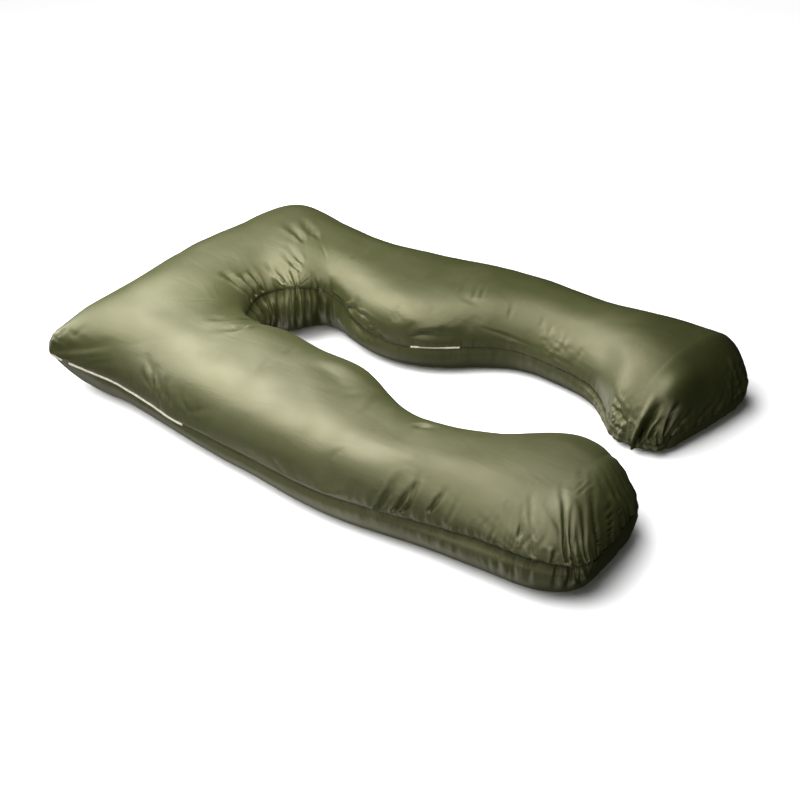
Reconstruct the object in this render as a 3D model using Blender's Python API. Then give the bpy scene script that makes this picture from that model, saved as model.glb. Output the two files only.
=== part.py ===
"""U-shaped body pillow: one satin cushion lying on its underside, and the bead of zip that shows in its seam.

Metres, +Z up. X runs across the pillow and Y along it, with the head end at +Y and the ends of both arms at -Y.
The origin is the middle of the pillow's box, on the surface it lies on.
"""

from collections import namedtuple
from math import pi

import bmesh
import bpy
import numpy as np
from mathutils import Vector
from mathutils.bvhtree import BVHTree

COLLECTION = "body_pillow"

# The plan's own axis, measured from the middle of the finished box.
PLAN_X = -0.0083
PLAN_Y = 0.0010

# One row for each cross-section, from the end of the near arm, round the head, to the end of the far arm.
# outer and inner are the plan places of the outer and the inner seam; crown is the height of the top;
# seam_out and seam_in are the seams' heights; tuck is how far the underside bulges past its seam, or draws in
# if negative; full is the roundness of the top towards each seam; steps is the number of steps to the next row.
Row = namedtuple(
    "Row",
    "name outer_x outer_y inner_x inner_y crown seam_out seam_in tuck_out tuck_in full_out full_in steps",
)
ROWS = (
    Row("near_end", -0.370, -0.715, -0.175, -0.700, 0.150, 0.095, 0.085, 0.000, 0.000, 2.3, 2.3, 11),
    Row("near_tip", -0.445, -0.605, -0.080, -0.595, 0.180, 0.105, 0.060, 0.010, 0.000, 2.3, 2.3, 9),
    Row("near_heel", -0.445, -0.500, -0.060, -0.510, 0.190, 0.100, 0.060, 0.015, 0.000, 2.3, 2.3, 7),
    Row("near_shin", -0.455, -0.380, -0.150, -0.395, 0.195, 0.090, 0.060, 0.010, 0.000, 2.3, 2.3, 6),
    Row("near_waist", -0.475, -0.260, -0.210, -0.265, 0.200, 0.085, 0.060, 0.005, 0.000, 2.3, 2.3, 5),
    Row("near_hip", -0.480, -0.130, -0.185, -0.140, 0.190, 0.075, 0.055, 0.005, 0.000, 2.3, 2.3, 4),
    Row("near_belly", -0.470, 0.020, -0.115, 0.000, 0.195, 0.070, 0.055, 0.005, 0.000, 2.3, 2.3, 4),
    Row("near_chest", -0.455, 0.170, -0.100, 0.130, 0.190, 0.065, 0.065, 0.005, 0.000, 2.3, 2.3, 4),
    Row("near_arm", -0.445, 0.330, -0.080, 0.240, 0.190, 0.065, 0.090, 0.000, 0.000, 2.3, 2.3, 6),
    Row("near_head", -0.425, 0.520, -0.090, 0.315, 0.195, 0.070, 0.110, 0.000, 0.020, 2.3, 2.3, 6),
    Row("near_corner", -0.415, 0.665, -0.090, 0.385, 0.200, 0.085, 0.120, -0.020, 0.030, 2.0, 2.3, 8),
    Row("head_near", -0.230, 0.710, -0.050, 0.420, 0.210, 0.065, 0.115, 0.000, 0.030, 2.3, 2.3, 9),
    Row("head", 0.000, 0.710, 0.000, 0.435, 0.205, 0.060, 0.120, 0.000, 0.030, 2.3, 2.3, 9),
    Row("head_far", 0.230, 0.690, 0.045, 0.415, 0.200, 0.060, 0.130, 0.000, 0.030, 2.3, 2.3, 9),
    Row("far_corner", 0.405, 0.660, 0.055, 0.360, 0.205, 0.055, 0.150, 0.000, 0.025, 2.1, 2.3, 7),
    Row("far_head", 0.395, 0.520, 0.120, 0.320, 0.205, 0.050, 0.125, 0.000, 0.010, 2.3, 2.3, 7),
    Row("far_arm", 0.385, 0.330, 0.110, 0.240, 0.195, 0.050, 0.100, 0.000, 0.010, 2.3, 2.3, 7),
    Row("far_chest", 0.415, 0.170, 0.085, 0.130, 0.190, 0.050, 0.075, 0.000, 0.005, 2.3, 2.3, 6),
    Row("far_belly", 0.455, 0.020, 0.115, -0.005, 0.190, 0.050, 0.080, 0.000, 0.000, 2.3, 2.3, 6),
    Row("far_hip", 0.465, -0.130, 0.215, -0.135, 0.185, 0.050, 0.075, 0.000, 0.000, 2.3, 2.3, 6),
    Row("far_waist", 0.475, -0.260, 0.225, -0.270, 0.175, 0.050, 0.070, 0.000, 0.000, 2.3, 2.3, 5),
    Row("far_shin", 0.480, -0.380, 0.205, -0.390, 0.190, 0.050, 0.060, 0.000, 0.010, 2.3, 2.3, 6),
    Row("far_heel", 0.500, -0.480, 0.130, -0.475, 0.195, 0.050, 0.035, 0.000, 0.005, 2.3, 2.3, 8),
    Row("far_tip", 0.490, -0.575, 0.115, -0.530, 0.185, 0.055, 0.035, 0.000, -0.005, 2.3, 2.3, 10),
    Row("far_end", 0.405, -0.670, 0.130, -0.595, 0.150, 0.060, 0.035, 0.000, 0.000, 2.3, 2.3, 0),
)
LAST = len(ROWS) - 1
TABLE = np.array([row[1:12] for row in ROWS])

AROUND = 32  # points round each section
SEAM_CROWDING = 0.28  # how much those points draw together at the two seams
UNDER_FULL = 3.0  # roundness of the underside
PRESS = 1.12  # how far the underside would sink if the surface did not stop it
END_FULL_TOP = 2.3  # roundness of each arm's end, above and below its seam
END_FULL_UNDER = 3.5

# The pinched ear at the near corner of the head.
EAR_ROW = 10.0
EAR_OUT = Vector((-0.025, 0.030, 0.015))
EAR_WIDTH = 0.35
EAR_SHARPNESS = 6.0

SEAM_DEPTH = 0.006  # how far the seam is drawn in

# Folds pressed into the cloth. A place on it is a row, counted from 0 at the near arm's end, and an angle:
# 0 at the outer seam, 90 at the crown, 180 at the inner seam and 270 underneath.
Fold = namedtuple("Fold", "name row_a angle_a row_b angle_b depth_a depth_b width")
FOLDS = (
    Fold("tip_1", 0.45, 8, 1.25, 80, 0.014, 0.004, 0.012),
    Fold("tip_2", 0.18, 16, 1.12, 92, 0.016, 0.004, 0.012),
    Fold("tip_3", 0.06, 50, 0.95, 98, 0.012, 0.004, 0.011),
    Fold("tip_4", 0.05, 95, 0.72, 108, 0.010, 0.003, 0.011),
    Fold("near_seam_1", 1.65, 6, 1.73, 58, 0.008, 0.002, 0.012),
    Fold("near_seam_2", 2.98, 8, 2.82, 48, 0.009, 0.002, 0.012),
    Fold("near_seam_3", 3.60, 5, 3.35, 52, 0.011, 0.002, 0.014),
    Fold("near_seam_4", 3.92, 3, 3.55, 42, 0.010, 0.002, 0.014),
    Fold("near_waist", 4.20, 105, 3.80, 102, 0.006, 0.003, 0.012),
    Fold("near_crease_1", 5.68, 86, 5.58, 103, 0.004, 0.003, 0.015),
    Fold("near_crease_2", 7.27, 74, 7.15, 115, 0.004, 0.004, 0.020),
    Fold("side_1", 8.06, 12, 8.33, 38, 0.009, 0.002, 0.012),
    Fold("side_2", 8.15, 8, 8.62, 42, 0.010, 0.002, 0.014),
    Fold("slot_1", 8.27, 108, 8.60, 94, 0.008, 0.002, 0.012),
    Fold("slot_2", 8.63, 116, 9.02, 97, 0.009, 0.002, 0.012),
    Fold("slot_3", 12.10, 172, 11.48, 117, 0.011, 0.002, 0.012),
    Fold("slot_4", 12.30, 174, 11.90, 132, 0.009, 0.002, 0.010),
    Fold("slot_5", 13.43, 163, 13.02, 120, 0.010, 0.002, 0.012),
    Fold("slot_6", 14.17, 140, 13.60, 115, 0.008, 0.002, 0.010),
    Fold("slot_7", 14.43, 112, 13.77, 95, 0.006, 0.002, 0.010),
    Fold("slot_8", 14.78, 101, 14.30, 87, 0.006, 0.002, 0.010),
    Fold("slot_9", 14.88, 173, 14.60, 150, 0.008, 0.002, 0.010),
    Fold("far_pinch_1", 15.95, 175, 16.55, 176, 0.013, 0.010, 0.012),
    Fold("far_pinch_2", 16.55, 174, 17.20, 178, 0.012, 0.006, 0.014),
    Fold("far_pocket", 17.55, 170, 18.30, 167, 0.009, 0.006, 0.015),
    Fold("far_crease_1", 18.28, 118, 18.32, 96, 0.007, 0.002, 0.011),
    Fold("far_crease_2", 19.00, 140, 18.97, 117, 0.007, 0.002, 0.011),
    Fold("far_crease_3", 20.12, 158, 20.18, 138, 0.006, 0.002, 0.011),
    Fold("far_point_1", 21.70, 168, 23.20, 173, 0.006, 0.009, 0.014),
    Fold("far_point_2", 23.35, 174, 23.62, 135, 0.020, 0.006, 0.014),
    Fold("far_point_3", 23.92, 143, 23.82, 118, 0.010, 0.004, 0.011),
    Fold("far_end", 23.85, 38, 23.50, 58, 0.008, 0.003, 0.012),
)
FOLD_POINTS = 9  # points of the line that a fold follows over the cloth
SHOULDER = 0.3  # the ridge beside a fold, as a share of its depth
SHOULDER_AT = 2.0  # how far out that ridge stands, in fold widths

# Upright gathers in the wall round the end of the slot.
GATHER_COUNT = 20
GATHER_ROWS = (8.6, 15.6)
GATHER_ANGLES = (176, 200)
GATHER_DEPTH = 0.005
GATHER_WIDTH = 0.006

# Stretches of the zip's bead that show in the seam.
Bead = namedtuple("Bead", "name row_a row_b angle")
BEADS = (
    Bead("zip_corner", 10.04, 9.74, 0),
    Bead("zip_side", 9.66, 7.70, 0),
    Bead("zip_arm", 17.60, 18.36, 180),
)
BEAD_RADIUS = 0.0028
BEAD_END_RADIUS = 0.5  # share of the radius left at a bead's rounded ends
BEAD_PITCH = 0.009
BEAD_GAP = 0.0005  # between the bead and the cloth
BEAD_SEARCH = 0.030


def clear_scene():
    for obj in list(bpy.data.objects):
        bpy.data.objects.remove(obj, do_unlink=True)


def add_collection(name):
    collection = bpy.data.collections.new(name)
    bpy.context.scene.collection.children.link(collection)
    return collection


def add_material(name, colour, roughness, sheen=0.0):
    material = bpy.data.materials.new(name)
    material.use_nodes = True
    shader = material.node_tree.nodes["Principled BSDF"]
    shader.inputs["Base Color"].default_value = (*colour, 1)
    shader.inputs["Roughness"].default_value = roughness
    shader.inputs["Metallic"].default_value = 0.0
    shader.inputs["Sheen Weight"].default_value = sheen
    return material


def smooth_through(knots, values, places):
    """A natural cubic spline through values at knots, read at places."""
    gaps = np.diff(knots)
    slopes = np.diff(values, axis=0) / gaps[:, None]
    matrix = np.eye(len(knots))
    bends = np.zeros_like(values)
    for i in range(1, len(knots) - 1):
        matrix[i, i - 1 : i + 2] = gaps[i - 1], 2 * (gaps[i - 1] + gaps[i]), gaps[i]
        bends[i] = 6 * (slopes[i] - slopes[i - 1])
    bends = np.linalg.solve(matrix, bends)
    i = np.clip(np.searchsorted(knots, places, side="right") - 1, 0, len(knots) - 2)
    gap = gaps[i][:, None]
    before = (knots[i + 1] - places)[:, None] / gap
    after = 1 - before
    straight = before * values[i] + after * values[i + 1]
    bent = (before**3 - before) * bends[i] + (after**3 - after) * bends[i + 1]
    return straight + bent * gap**2 / 6


def rows_at(places):
    """The table's columns at row places such as 3.25, and how far each place is towards an arm's end edge."""
    body = TABLE[1:-1]
    outer_steps = np.linalg.norm(np.diff(body[:, 0:2], axis=0), axis=1)
    inner_steps = np.linalg.norm(np.diff(body[:, 2:4], axis=0), axis=1)
    knots = np.concatenate([[0], np.cumsum(np.sqrt(outer_steps + inner_steps))])
    inside = np.clip(places, 1, LAST - 1) - 1
    columns = smooth_through(knots, body, np.interp(inside, np.arange(len(body)), knots))
    closing = np.clip(np.maximum(1 - places, places - (LAST - 1)), 0, 1)
    share = np.repeat((1 - np.sqrt(1 - closing**2))[:, None], TABLE.shape[1], axis=1)
    share[:, [1, 3]] = closing[:, None]  # the arm runs straight on while its corners round off
    for tip, end, here in ((TABLE[1], TABLE[0], places < 1), (TABLE[-2], TABLE[-1], places > LAST - 1)):
        columns = np.where(here[:, None], tip + (end - tip) * share, columns)
    return columns, closing


def cloth(places, angles):
    """Points of the smooth pillow at row places and at angles in radians."""
    columns, closing = rows_at(places)
    middle = (columns[:, 0:2] + columns[:, 2:4]) / 2
    half = (columns[:, 0:2] - columns[:, 2:4]) / 2
    half_width = np.linalg.norm(half, axis=1)
    crown, seam_out, seam_in, tuck_out, tuck_in, full_out, full_in = columns[:, 4:].T
    open_top = (1 - closing**END_FULL_TOP) ** (1 / END_FULL_TOP)
    open_under = (1 - closing**END_FULL_UNDER) ** (1 / END_FULL_UNDER)
    up, out = np.sin(angles), np.cos(angles)
    full_top = full_out + (full_in - full_out) * (1 - out) / 2
    full = np.where(up >= 0, full_top, full_top + (UNDER_FULL - full_top) * open_under)
    across = np.sign(out) * np.abs(out) ** (2 / full)
    rise = np.abs(up) ** (2 / full)
    seam = seam_out + (seam_in - seam_out) * (1 - across) / 2
    top = seam + (crown - seam) * rise * open_top
    under = seam - seam * np.minimum(rise * PRESS, 1) * open_under
    bulge = np.where(out > 0, tuck_out, -tuck_in) * 4 * rise * (1 - rise) * open_under
    across_plan = across + np.where(up >= 0, 0, bulge) / half_width
    plan = middle + half * across_plan[:, None] + (PLAN_X, PLAN_Y)
    points = np.column_stack([plan, np.where(up >= 0, top, under)])
    ear = np.exp(-(((places - EAR_ROW) / EAR_WIDTH) ** 2)) * np.clip(across, 0, 1) ** EAR_SHARPNESS
    return points + ear[:, None] * np.array(EAR_OUT)


def row_places():
    """The row place of every section that is built, closest together at the arms' ends."""
    places = []
    for i, row in enumerate(ROWS[:-1]):
        share = np.arange(row.steps) / row.steps
        if i == 0:
            share = 1 - np.cos(share * pi / 2)
        elif i == LAST - 1:
            share = np.sin(share * pi / 2)
        places.extend(i + share)
    return np.array(places + [LAST])


def section_angles():
    even = 2 * pi * np.arange(AROUND) / AROUND
    return even - SEAM_CROWDING * np.sin(2 * even)


def outward(grid):
    """The unit outward direction at each point of a grid of sections."""
    round_section = np.roll(grid, -1, axis=1) - np.roll(grid, 1, axis=1)
    normal = np.cross(round_section, np.gradient(grid, axis=0))
    return normal / np.maximum(np.linalg.norm(normal, axis=-1, keepdims=True), 1e-9)


def pressed_by(points, fold):
    """How deep a fold presses each point: a trough along the fold's line, with a low ridge beside it."""
    share = np.linspace(0, 1, FOLD_POINTS)
    places = fold.row_a + (fold.row_b - fold.row_a) * share
    line = cloth(places, np.radians(fold.angle_a + (fold.angle_b - fold.angle_a) * share))
    step = np.diff(line, axis=0)
    offset = points[:, None] - line[:-1]
    along = np.clip((offset * step).sum(-1) / (step**2).sum(-1), 0, 1)
    away = np.linalg.norm(offset - along[..., None] * step, axis=-1)
    nearest = away.argmin(axis=1)
    every = np.arange(len(points))
    travelled = (nearest + along[every, nearest]) / len(step)
    widths = away[every, nearest] / fold.width
    profile = np.exp(-(widths**2)) - SHOULDER * np.exp(-((widths - SHOULDER_AT) ** 2))
    return (fold.depth_a + (fold.depth_b - fold.depth_a) * travelled) * profile


def gathers():
    """The upright gathers round the slot's end, every other one shallower."""
    for i, place in enumerate(np.linspace(*GATHER_ROWS, GATHER_COUNT)):
        depth = GATHER_DEPTH * (1.0 if i % 2 else 0.6)
        yield Fold(f"gather_{i}", place, GATHER_ANGLES[0], place, GATHER_ANGLES[1], depth, depth, GATHER_WIDTH)


def draw_in_seam(grid):
    """Pulls the outer seam, the inner seam and the seam across each arm's end towards the filling."""
    inner = AROUND // 2
    across = grid[:, inner] - grid[:, 0]
    across[:, 2] = 0
    across /= np.maximum(np.linalg.norm(across, axis=1, keepdims=True), 1e-9)
    grid[:, 0] += across * SEAM_DEPTH
    grid[:, inner] -= across * SEAM_DEPTH
    for end, beside in ((0, 1), (-1, -2)):
        inwards = grid[beside].mean(axis=0) - grid[end].mean(axis=0)
        inwards[2] = 0
        grid[end] += inwards / np.linalg.norm(inwards) * SEAM_DEPTH


def cushion_grid():
    places = row_places()
    place_grid, angle_grid = np.meshgrid(places, section_angles(), indexing="ij")
    grid = cloth(place_grid.ravel(), angle_grid.ravel()).reshape(len(places), AROUND, 3)
    points = grid.reshape(-1, 3)
    depth = sum(pressed_by(points, fold) for fold in (*FOLDS, *gathers())).reshape(len(places), AROUND)
    depth[[0, -1]] = 0  # the seam across each arm's end
    depth[grid[..., 2] <= 0] = 0  # what lies flat on the surface
    grid = grid - outward(grid) * depth[..., None]
    draw_in_seam(grid)
    grid[..., 2] = np.maximum(grid[..., 2], 0)
    return grid


def add_cushion(collection, material):
    """The cushion, lofted through its sections, whose first and last close to the seam across an arm's end."""
    grid = cushion_grid()
    sections = len(grid)
    for end in (0, -1):
        for k in range(1, AROUND // 2):
            grid[end, -k] = grid[end, k]
    mesh = bmesh.new()
    rings = [[mesh.verts.new(point) for point in ring] for ring in grid.tolist()]
    for i in range(sections - 1):
        for k in range(AROUND):
            after = (k + 1) % AROUND
            mesh.faces.new((rings[i][k], rings[i][after], rings[i + 1][after], rings[i + 1][k]))
    bmesh.ops.remove_doubles(mesh, verts=mesh.verts, dist=1e-5)
    bmesh.ops.dissolve_degenerate(mesh, edges=mesh.edges, dist=1e-5)
    data = bpy.data.meshes.new("cushion")
    mesh.to_mesh(data)
    mesh.free()
    data.shade_smooth()
    data.materials.append(material)
    cushion = bpy.data.objects.new("cushion", data)
    collection.objects.link(cushion)
    return cushion


def surface_tree(obj):
    data = obj.data
    return BVHTree.FromPolygons([v.co for v in data.vertices], [tuple(p.vertices) for p in data.polygons])


def seat_bead_point(tree, seam_point, direction):
    """Slides a point out of the seam until a bead centred there clears the cloth by its gap."""
    close, far = 0.0, BEAD_SEARCH
    for _ in range(30):
        middle = (close + far) / 2
        distance = tree.find_nearest(seam_point + direction * middle)[3]
        if distance < BEAD_RADIUS + BEAD_GAP:
            close = middle
        else:
            far = middle
    return seam_point + direction * far


def add_bead(collection, material, tree, bead):
    """A stretch of the zip's bead, lying in the drawn-in seam."""
    fine = np.linspace(bead.row_a, bead.row_b, 200)
    seam = cloth(fine, np.full(len(fine), np.radians(bead.angle)))
    travelled = np.concatenate([[0], np.cumsum(np.linalg.norm(np.diff(seam, axis=0), axis=1))])
    count = max(int(round(travelled[-1] / BEAD_PITCH)), 4) + 1
    places = np.interp(np.linspace(0, travelled[-1], count), travelled, fine)
    columns, _ = rows_at(places)
    outwards = (columns[:, 0:2] - columns[:, 2:4]) * (1 if bead.angle == 0 else -1)
    curve = bpy.data.curves.new(bead.name, "CURVE")
    curve.dimensions = "3D"
    curve.bevel_depth = BEAD_RADIUS
    curve.bevel_resolution = 2
    curve.use_fill_caps = True
    spline = curve.splines.new("POLY")
    spline.points.add(count - 1)
    for i, point in enumerate(cloth(places, np.full(count, np.radians(bead.angle)))):
        direction = Vector((*outwards[i], 0)).normalized()
        inside = Vector(point) - direction * SEAM_DEPTH
        spline.points[i].co = (*seat_bead_point(tree, inside, direction), 1)
        spline.points[i].radius = BEAD_END_RADIUS if i in (0, count - 1) else 1.0
    curve.materials.append(material)
    obj = bpy.data.objects.new(bead.name, curve)
    collection.objects.link(obj)


def main():
    clear_scene()
    collection = add_collection(COLLECTION)
    satin = add_material("olive_satin", (0.160, 0.155, 0.080), 0.35, sheen=0.4)
    zip_cream = add_material("zip_cream", (0.700, 0.680, 0.560), 0.55)
    cushion = add_cushion(collection, satin)
    tree = surface_tree(cushion)
    for bead in BEADS:
        add_bead(collection, zip_cream, tree, bead)


main()
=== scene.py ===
"""The looks of a U-shaped body pillow: its satin cushion with every fold, and the zip that shows in its seam.

Metres, +Z up. X runs across the pillow and Y along it. The head end is at +Y and both arms end at -Y.
"""

from collections import namedtuple
from math import pi

import bmesh
import bpy
import numpy as np
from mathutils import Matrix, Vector, kdtree, noise
from mathutils.bvhtree import BVHTree


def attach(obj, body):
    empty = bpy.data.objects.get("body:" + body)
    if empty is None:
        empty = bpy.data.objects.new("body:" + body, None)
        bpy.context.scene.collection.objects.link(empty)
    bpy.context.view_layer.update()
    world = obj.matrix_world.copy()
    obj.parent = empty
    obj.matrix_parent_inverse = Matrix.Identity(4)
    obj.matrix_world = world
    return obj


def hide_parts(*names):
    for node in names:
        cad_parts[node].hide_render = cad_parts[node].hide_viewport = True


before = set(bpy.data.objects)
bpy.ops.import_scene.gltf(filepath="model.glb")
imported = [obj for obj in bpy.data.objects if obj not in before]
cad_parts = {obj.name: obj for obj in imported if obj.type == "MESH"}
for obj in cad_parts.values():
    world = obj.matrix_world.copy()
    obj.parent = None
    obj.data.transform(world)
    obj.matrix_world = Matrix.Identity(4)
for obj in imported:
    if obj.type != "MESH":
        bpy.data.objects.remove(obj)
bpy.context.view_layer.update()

# The camera, worked out from the outline in the photograph.
CAMERA_LENS_MM = 71.06
CAMERA_SENSOR_MM = 36.0
CAMERA_TARGET = Vector((-0.1133, -0.0660, 0.0800))
CAMERA_DISTANCE = 3.537
CAMERA_HEADING = np.radians(54.511)  # clockwise from +Y, seen from above
CAMERA_PITCH = np.radians(33.703)  # how far it looks down

# Soft lamps, all aimed at one place, and suns by where they stand: turned left from straight behind the
# pillow, and how high. Those named bounce shine from below, for the light that a white floor throws back.
LAMP_AIM = Vector((-0.1, 0.2, 0.0))
LAMP_SIZE = 0.8
Lamp = namedtuple("Lamp", "name x y z power")
LAMPS = (
    Lamp("over_near_tip", -0.6, -0.5, 0.9, 4.8),
    Lamp("over_opening", 0.1, -0.2, 1.0, 5.3),
    Lamp("over_head", -0.3, 0.6, 1.0, 13.1),
    Lamp("over_far_corner", 0.4, 1.0, 1.0, 2.8),
    Lamp("near_side", -0.9, 0.2, 1.0, 3.1),
    Lamp("low_near_side", -1.3, -0.1, 0.5, 2.7),
    Lamp("high_far_side", 0.6, 0.7, 2.2, 12.8),
    Lamp("behind_head", -0.4, 1.7, 0.7, 14.0),
    Lamp("behind_far_corner", 0.6, 1.6, 1.6, 12.5),
    Lamp("bounce_near_side", -1.0, 0.3, -0.6, 1.5),
)
Sun = namedtuple("Sun", "name turn rise spread power")
SUNS = (
    Sun("front_sun", 180, 8, 40, 0.55),
    Sun("left_sun", 90, 8, 40, 0.26),
    Sun("bounce_back", 45, -20, 40, 0.75),
    Sun("bounce_left", 90, -55, 40, 0.40),
    Sun("bounce_front", 180, -55, 40, 0.23),
)
FLOOR_WASH = Sun("floor_wash", 110, 56, 55, 4.1)  # only the floor takes this one
FLOOR_SIZE = 30
FLOOR_HEIGHT = -0.0005
FLOOR_SURFACE = {"Base Color": (0.8, 0.8, 0.8, 1), "Roughness": 0.9, "Specular IOR Level": 0.1}
WORLD_LIGHT = {"Color": (1, 1, 1, 1), "Strength": 0.01}

# The plan's own axis, measured from the middle of the finished box.
PLAN_X = -0.0083
PLAN_Y = 0.0010

# One row for each cross-section, from the end of the near arm, round the head, to the end of the far arm.
# outer and inner are the plan places of the outer and the inner seam; crown is the height of the top;
# seam_out and seam_in are the seams' heights; tuck is how far the underside bulges past its seam, or draws
# in if negative; full is the roundness of the top towards each seam; steps counts the steps to the next row.
Row = namedtuple(
    "Row",
    "name outer_x outer_y inner_x inner_y crown seam_out seam_in tuck_out tuck_in full_out full_in steps",
)
ROWS = [Row(*values) for values in (
    ("near_end", -0.370, -0.715, -0.175, -0.700, 0.150, 0.095, 0.085, 0, 0, 2.3, 2.3, 54),
    ("near_tip", -0.445, -0.605, -0.080, -0.595, 0.180, 0.105, 0.060, 0.010, 0, 2.5, 2.8, 40),
    ("near_heel", -0.445, -0.500, -0.060, -0.510, 0.187, 0.100, 0.060, 0.015, 0, 2.8, 3.0, 34),
    ("near_shin", -0.455, -0.380, -0.150, -0.395, 0.190, 0.090, 0.060, 0.010, 0, 3.0, 3.3, 32),
    ("near_waist", -0.475, -0.260, -0.210, -0.265, 0.193, 0.085, 0.060, 0.005, 0, 3.0, 3.5, 28),
    ("near_hip", -0.480, -0.130, -0.185, -0.140, 0.184, 0.075, 0.055, 0.005, 0, 2.9, 3.1, 22),
    ("near_belly", -0.470, 0.020, -0.115, 0, 0.188, 0.070, 0.055, 0.005, 0, 2.9, 3.3, 22),
    ("near_chest", -0.455, 0.170, -0.100, 0.130, 0.185, 0.065, 0.065, 0.005, 0, 2.8, 3.1, 24),
    ("near_arm", -0.445, 0.330, -0.080, 0.240, 0.190, 0.065, 0.090, 0, 0, 2.6, 2.4, 28),
    ("near_head", -0.425, 0.520, -0.090, 0.315, 0.195, 0.070, 0.110, 0, 0.020, 2.4, 2.3, 28),
    ("near_corner", -0.415, 0.665, -0.090, 0.385, 0.200, 0.085, 0.120, -0.020, 0.030, 2.5, 2.3, 32),
    ("head_near", -0.230, 0.710, -0.050, 0.420, 0.210, 0.065, 0.115, 0, 0.030, 2.3, 2.3, 34),
    ("head", 0, 0.710, 0, 0.435, 0.205, 0.060, 0.120, 0, 0.030, 2.35, 2.3, 34),
    ("head_far", 0.230, 0.690, 0.045, 0.415, 0.200, 0.060, 0.130, 0, 0.030, 2.8, 2.3, 34),
    ("far_corner", 0.405, 0.660, 0.055, 0.360, 0.205, 0.055, 0.150, 0, 0.025, 2.6, 2.3, 34),
    ("far_head", 0.395, 0.520, 0.120, 0.320, 0.201, 0.050, 0.125, 0, 0.010, 3.8, 2.8, 32),
    ("far_arm", 0.385, 0.330, 0.110, 0.240, 0.188, 0.050, 0.100, 0, 0.010, 3.4, 3.2, 28),
    ("far_chest", 0.415, 0.170, 0.085, 0.130, 0.183, 0.050, 0.075, 0, 0.005, 3.9, 3.4, 28),
    ("far_belly", 0.455, 0.020, 0.115, -0.005, 0.184, 0.050, 0.080, 0, 0, 3.3, 3.2, 30),
    ("far_hip", 0.465, -0.130, 0.215, -0.135, 0.183, 0.050, 0.075, 0, 0, 3.0, 2.6, 28),
    ("far_waist", 0.475, -0.260, 0.225, -0.270, 0.175, 0.050, 0.070, 0, 0, 2.6, 2.1, 26),
    ("far_shin", 0.480, -0.380, 0.205, -0.390, 0.190, 0.050, 0.060, 0, 0.010, 2.2, 2.2, 28),
    ("far_heel", 0.500, -0.480, 0.130, -0.475, 0.195, 0.050, 0.035, 0, 0.005, 2.4, 2.3, 38),
    ("far_tip", 0.490, -0.575, 0.115, -0.530, 0.185, 0.055, 0.035, 0, -0.005, 2.6, 2.3, 46),
    ("far_end", 0.405, -0.670, 0.130, -0.595, 0.150, 0.060, 0.035, 0, 0, 2.3, 2.3, 0),
)]
LAST = len(ROWS) - 1
TABLE = np.array([row[1:12] for row in ROWS])

UNDER_FULL = 3.0  # roundness of the underside
PRESS = 1.12  # how far the underside would sink if the surface did not stop it
END_FULL_TOP = 2.0  # roundness of each arm's end, above and below its seam
END_FULL_UNDER = 3.5

# The pinched ear at the near corner of the head.
EAR_ROW = 10.0
EAR_OUT = Vector((-0.025, 0.030, 0.015))
EAR_WIDTH = 0.35
EAR_SHARPNESS = 6.0

# Where the photograph's outline is fuller or slimmer than the sections: a smooth shift of the cloth round one
# place, dying away over so many rows and degrees.
Shift = namedtuple("Shift", "name row angle rows degrees x y z")
SHIFTS = [Shift(*values) for values in (
    ("near_ledge", 1.1, 142, 0.5, 30, 0.003, -0.002, 0.003),
    ("near_side_foot", 3.8, 325, 0.9, 35, 0.006, 0, 0),
    ("near_inside", 0.25, 180, 0.35, 60, -0.006, 0.003, 0),
    ("near_toe", 0.4, 325, 0.5, 45, 0.005, 0.006, 0.003),
    ("near_brow", 0.5, 145, 0.35, 30, 0, 0.003, -0.007),
    ("near_plateau", 0.6, 75, 0.35, 35, 0, -0.003, 0.005),
    ("far_shoulder", 23.15, 45, 0.6, 35, 0.004, -0.002, 0.009),
    ("far_brow", 23.45, 100, 0.35, 45, 0, 0.003, -0.006),
    ("far_plateau", 23.5, 130, 0.3, 30, 0, -0.004, 0.011),
    ("far_cheek", 23.68, 120, 0.28, 28, 0, -0.008, 0.016),
    ("far_front_top", 24.0, 90, 0.5, 55, 0, -0.015, 0),
    ("far_front_under", 24.0, 270, 0.5, 55, 0, -0.015, 0),
    ("far_corner", 24.0, 0, 0.7, 45, -0.007, 0.003, 0),
    ("far_hollow", 19.6, 222, 0.5, 40, 0.005, 0, 0),
    ("far_inside", 21.6, 196, 0.35, 50, 0.004, 0, 0),
    ("far_toe", 23.15, 200, 0.35, 50, -0.006, -0.008, 0),
    ("corner_top", 10.5, 40, 0.5, 35, -0.004, 0.005, 0.006),
    ("head_top", 12.3, 58, 0.5, 30, 0, 0.006, 0.006),
    ("zip_sag", 8.9, 0, 0.8, 25, 0, 0, 0.007),
    ("zip_tuck", 17.95, 176, 0.5, 14, 0.009, 0, -0.002),
    ("slot_lip", 8.9, 148, 0.8, 38, 0, 0, -0.013),
    ("near_foot", 8.4, 340, 1.0, 40, 0.006, 0, 0),
)]

# How close together the points of a section lie, at angles from the outer seam (0) over the crown (90) to the
# inner seam (180), and on from there under the pillow, which is flat where it lies on the surface.
TOP_STEPS = 92
UNDER_STEPS = 34
SPACING_POINTS = 2001
TOP_SPACING = {0: 2.4, 25: 1.1, 90: 0.9, 155: 1.1, 180: 2.4}
UNDER_SPACING = {180: 2.2, 205: 1.4, 235: 1.0, 245: 0.2, 295: 0.2, 305: 1.0, 335: 1.4, 360: 2.2}

SEAM_DEPTH = 0.0045  # how far the seam is drawn in at the arms' ends and behind the zips
SEAM_WIDTH = 0.0035  # how far from the seam its groove reaches
SEAM_POINTS = 1601  # of the seam's line along one side, and round one arm's end
SEAM_END_POINTS = 121
FLOOR_FADE = 0.015  # folds fade out over this height above the surface
NOISE_STEP = 17.3  # how far apart the noises of two seeds lie
NOISE_GAIN = 1.6  # brings the noise to about -1 to 1
NOISE_SEED = 1  # of noise_vector, which takes its offsets from the clock where none is set

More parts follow.
